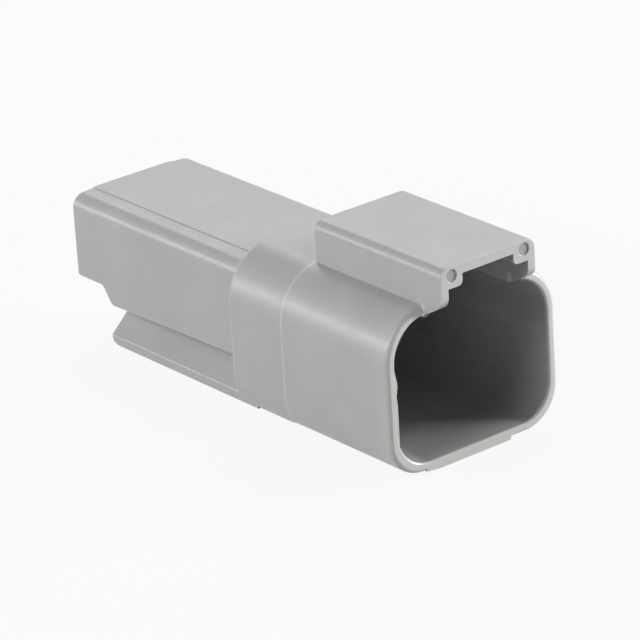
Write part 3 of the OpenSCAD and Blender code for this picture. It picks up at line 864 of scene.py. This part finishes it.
class RECEPTACLE_OT_wire_seal(bpy.types.Operator):
    """Model the silicone wire seal with its outer ribs and lipped wire holes"""
    bl_idname = "receptacle.wire_seal"
    bl_label = "Wire Seal"

    def execute(self, context):
        scene = context.scene
        b, q = in_mm(scene.block_sizes), in_mm(scene.seal_sizes)
        s = layout(scene)
        x0, x1 = s.rear + q.recess, s.pocket
        width = b.pocket_width - 2 * (q.gap + q.groove)
        height = b.pocket_height - 2 * (q.gap + q.groove)
        seal = centred_bar("seal", x0 + 0.1, x1 - 0.1, width, height, height / 2 - EPS, 16)
        step = (x1 - x0 - q.rib_length) / (q.ribs - 1)
        for i in range(q.ribs):
            start = x0 + i * step
            end = start + q.rib_length
            rib = centred_bar("rib", start, end, width + 2 * q.groove,
                              height + 2 * q.groove, height / 2 + q.groove - EPS, 16)
            round_edges(rib, 0.28, 4, at(0, start, end))
            add(seal, rib)
        funnel = q.mouth_radius - q.lip_radius
        lip_step = (x1 - x0 - 2 * funnel - q.lip_length) / 2
        for side in (-1, 1):
            y = side * s.contact_y
            wide_end = q.mouth_radius + EPS
            cut(seal, rod("hole", x0 - OVER, x1 + OVER, q.lip_radius, y),
                rod("funnel", x0 - EPS, x0 + funnel, wide_end, y, end_radius=q.lip_radius),
                rod("funnel", x1 - funnel, x1 + EPS, q.lip_radius, y, end_radius=wide_end))
            for i in range(2):
                start = x0 + funnel + q.lip_length + i * lip_step
                end = start + lip_step - q.lip_length
                wide = rod("wide", start, end, q.hole_radius, y)
                cut(seal, round_edges(wide, 0.2, 3, at(0, start, end)))
        seal.name = "silicone_wire_seal"
        finish_mesh(seal, "wire_seal", "receptacle",
                    silicone("Orange silicone", scene.receptacle_finishes.seal), 40)
        return {'FINISHED'}


class RECEPTACLE_OT_wedge_lock(bpy.types.Operator):
    """Model the wedge lock: a plate round the pins and a tongue between the lock fingers"""
    bl_idname = "receptacle.wedge_lock"
    bl_label = "Wedge Lock"

    def execute(self, context):
        scene = context.scene
        w, c = in_mm(scene.wedge_sizes), in_mm(scene.contact_sizes)
        s = layout(scene)
        plate = centred_bar("plate", s.wedge_seat, s.wedge_front, w.width, w.height, w.corner, 6)
        round_edges(plate, 0.2, 3, at(0, s.wedge_front))
        half_y, half_z = w.tongue_thickness / 2, w.tongue_height / 2
        tongue = block("tongue", (s.wedge_seat - w.tongue_length, -half_y, AXIS_Z - half_z),
                       (s.wedge_seat + 0.3, half_y, AXIS_Z + half_z))
        round_edges(tongue, 0.25, 3, at(0, s.wedge_seat - w.tongue_length))
        add(plate, tongue)
        for side in (-1, 1):
            y = side * s.contact_y
            cut(plate, rod("hole", s.wedge_seat - OVER, s.wedge_front + OVER, w.hole_radius, y),
                rod("neck", s.wedge_seat - OVER, s.wedge_seat + 0.5,
                    c.neck_radius + c.neck_gap + 0.1, y),
                rod("lead", s.wedge_front - 0.5, s.wedge_front + EPS, w.hole_radius, y,
                    end_radius=w.hole_radius + 0.5 + EPS))
        half = w.window / 2
        window = block("window", (s.wedge_front - w.window_depth, -half, AXIS_Z - half),
                       (s.wedge_front + OVER, half, AXIS_Z + half))
        round_edges(window, 0.15, 2, lengthwise(lambda p: True))
        cut(plate, window)
        plate.name = "orange_wedge_lock"
        plastic = moulded_plastic("Orange moulded plastic", scene.receptacle_finishes.wedge,
                                  0.38, 0.000015)
        finish_mesh(plate, "wedge_lock", "wedge", plastic)
        return {'FINISHED'}


def contact_pin(name, side, c, s, material):
    """One turned pin contact, from its rounded tip back to its crimp barrel."""
    y, lap, sides = side * s.contact_y, 0.2, 56
    pin = rod("pin", s.pin - lap, s.tip, c.pin_radius, y, sides=sides)
    round_edges(pin, 0.42, 6, at(0, s.tip))
    root = rod("root", s.root - lap, s.pin, c.root_radius, y, sides=sides)
    round_edges(root, 0.1, 2, at(0, s.pin))
    neck = rod("neck", s.collar - lap, s.root, c.neck_radius, y, sides=sides)
    round_edges(neck, 0.08, 2, at(0, s.root))
    collar = rod("collar", s.barrel, s.collar, c.collar_radius, y, sides=sides)
    round_edges(collar, 0.12, 3, at(0, s.barrel, s.collar))
    end = s.barrel - c.barrel_length
    barrel = rod("barrel", end, s.barrel + lap, c.barrel_radius, y, sides=sides)
    round_edges(barrel, 0.08, 2, at(0, end))
    add(pin, root, neck, collar, barrel)
    bore = rod("bore", end - OVER, end + c.wire_depth, c.wire_radius, y, sides=sides)
    sight_radius, sight_inset, depth = 0.4, 1, c.barrel_radius + OVER
    clear_selection()
    bpy.ops.mesh.primitive_cylinder_add(
        vertices=32, radius=sight_radius, depth=depth,
        location=(end + c.wire_depth - sight_inset, y, AXIS_Z + depth / 2))
    cut(pin, bore, settle(bpy.context.object, "sight"))
    pin.name = name
    node = "contact_pin_left" if side > 0 else "contact_pin_right"
    return finish_mesh(pin, node, "receptacle", material, 40)


class RECEPTACLE_OT_contacts(bpy.types.Operator):
    """Model the two turned pin contacts"""
    bl_idname = "receptacle.contacts"
    bl_label = "Pin Contacts"

    def execute(self, context):
        scene = context.scene
        c, s = in_mm(scene.contact_sizes), layout(scene)
        nickel = turned_nickel("Nickel plating", scene.receptacle_finishes.contact)
        contact_pin("turned_pin_left", 1, c, s, nickel)
        contact_pin("turned_pin_right", -1, c, s, nickel)
        return {'FINISHED'}


# ------------------------ stage

def camera_axes(stage):
    """Right, up and back of the camera in the part's frame."""
    a, e = stage.azimuth, stage.elevation
    back = Vector((math.sin(a) * math.cos(e), -math.cos(a) * math.cos(e), math.sin(e)))
    right = Vector((math.cos(a), math.sin(a), 0.0))
    up = back.cross(right)
    turn = stage.roll
    return (math.cos(turn) * right + math.sin(turn) * up,
            -math.sin(turn) * right + math.cos(turn) * up, back)


def area_light(name, direction, distance, width, height, level, tint=(1.0, 1.0, 1.0)):
    """A soft lamp that looks at the part; at level 1 a white surface facing it shows white."""
    place = AIM + distance * Vector(direction).normalized()
    clear_selection()
    bpy.ops.object.light_add(type='AREA', location=place)
    lamp = bpy.context.object
    lamp.name = name
    lamp.rotation_euler = (AIM - place).to_track_quat('-Z', 'Y').to_euler()
    lamp.data.shape = 'RECTANGLE'
    lamp.data.size, lamp.data.size_y = width, height
    lamp.data.energy = level * (math.pi * distance) ** 2
    lamp.data.color = tint


def seen_directly(nodes, links):
    """1 for camera, glossy and transmission rays, and 0 for the rays that light the part."""
    path = nodes.new("ShaderNodeLightPath")
    seen = path.outputs["Is Camera Ray"]
    for ray in ("Is Glossy Ray", "Is Transmission Ray"):
        seen = calculate(nodes, links, 'MAXIMUM', seen, path.outputs[ray])
    return seen


class RECEPTACLE_OT_stage(bpy.types.Operator):
    """Set up the camera, the floor, the soft lights and the pale surroundings"""
    bl_idname = "receptacle.stage"
    bl_label = "Stage"

    def execute(self, context):
        stage = context.scene.stage_settings
        right, up, back = camera_axes(stage)
        aim = Vector((stage.aim_x, 0.0, stage.aim_z))
        place = aim + back * stage.distance - right * CAMERA_LEFT - up * CAMERA_DOWN
        clear_selection()
        bpy.ops.object.camera_add(location=place)
        camera = bpy.context.object
        turn = Matrix((right, up, back)).transposed().to_4x4()
        camera.matrix_world = Matrix.Translation(place) @ turn
        camera.data.sensor_width = 36.0
        camera.data.lens = stage.focal
        camera.data.clip_start = 0.01
        camera.data.clip_end = 10.0
        context.scene.camera = camera
        context.scene.view_settings.view_transform = 'Standard'

        bpy.ops.mesh.primitive_plane_add(size=3.0, location=(0, 0, -0.0001))
        floor = bpy.context.object
        floor.name = "floor"
        material, nodes, links, shader = new_material("White floor")
        dial(shader, Base_Color=(FLOOR_GREY, FLOOR_GREY, FLOOR_GREY, 1.0), Roughness=0.9,
             Specular_IOR_Level=0.1)
        paper = nodes.new("ShaderNodeEmission")
        share = calculate(nodes, links, 'MULTIPLY', seen_directly(nodes, links), PAPER_SHARE)
        mix = nodes.new("ShaderNodeMixShader")
        links.new(share, mix.inputs["Fac"])
        links.new(shader.outputs["BSDF"], mix.inputs[1])
        links.new(paper.outputs["Emission"], mix.inputs[2])
        links.new(mix.outputs["Shader"], nodes["Material Output"].inputs["Surface"])
        floor.data.materials.append(material)

        world = context.scene.world or bpy.data.worlds.new("Pale surroundings")
        context.scene.world = world
        world.use_nodes = True
        nodes, links = world.node_tree.nodes, world.node_tree.links
        background = dial(nodes["Background"], Color=(1, 1, 1, 1))
        level = dial(nodes.new("ShaderNodeMapRange"), To_Min=AMBIENT, To_Max=1.0)
        links.new(seen_directly(nodes, links), level.inputs["Value"])
        links.new(level.outputs["Result"], background.inputs["Strength"])

        for lamp in LAMPS:
            area_light(*lamp)
        return {'FINISHED'}


class RECEPTACLE_PT_panel(bpy.types.Panel):
    """Sizes, finishes and build steps of the receptacle"""
    bl_idname = "RECEPTACLE_PT_panel"
    bl_label = "Sealed Receptacle"
    bl_space_type = 'VIEW_3D'
    bl_region_type = 'UI'
    bl_category = "Receptacle"

    def draw(self, context):
        for key in SIZE_GROUPS:
            group = getattr(context.scene, key)
            box = self.layout.box()
            box.label(text=key.replace("_", " ").capitalize())
            for name in group.bl_rna.properties.keys():
                if name not in {"rna_type", "name"}:
                    box.prop(group, name)
        for operator in OPERATORS:
            self.layout.operator(operator.bl_idname)


OPERATORS = (RECEPTACLE_OT_housing, RECEPTACLE_OT_wire_seal, RECEPTACLE_OT_wedge_lock,
             RECEPTACLE_OT_contacts, RECEPTACLE_OT_stage)
CLASSES = (*SIZE_GROUPS.values(), *OPERATORS, RECEPTACLE_PT_panel)


def register():
    for cls in CLASSES:
        bpy.utils.register_class(cls)
    for key, group in SIZE_GROUPS.items():
        setattr(bpy.types.Scene, key, PointerProperty(type=group))


def unregister():
    for key in SIZE_GROUPS:
        delattr(bpy.types.Scene, key)
    for cls in reversed(CLASSES):
        bpy.utils.unregister_class(cls)


def main():
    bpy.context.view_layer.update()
    register()
    bpy.ops.receptacle.housing()
    bpy.ops.receptacle.wire_seal()
    bpy.ops.receptacle.wedge_lock()
    bpy.ops.receptacle.contacts()
    bpy.ops.receptacle.stage()


if __name__ == "__main__":
    main()
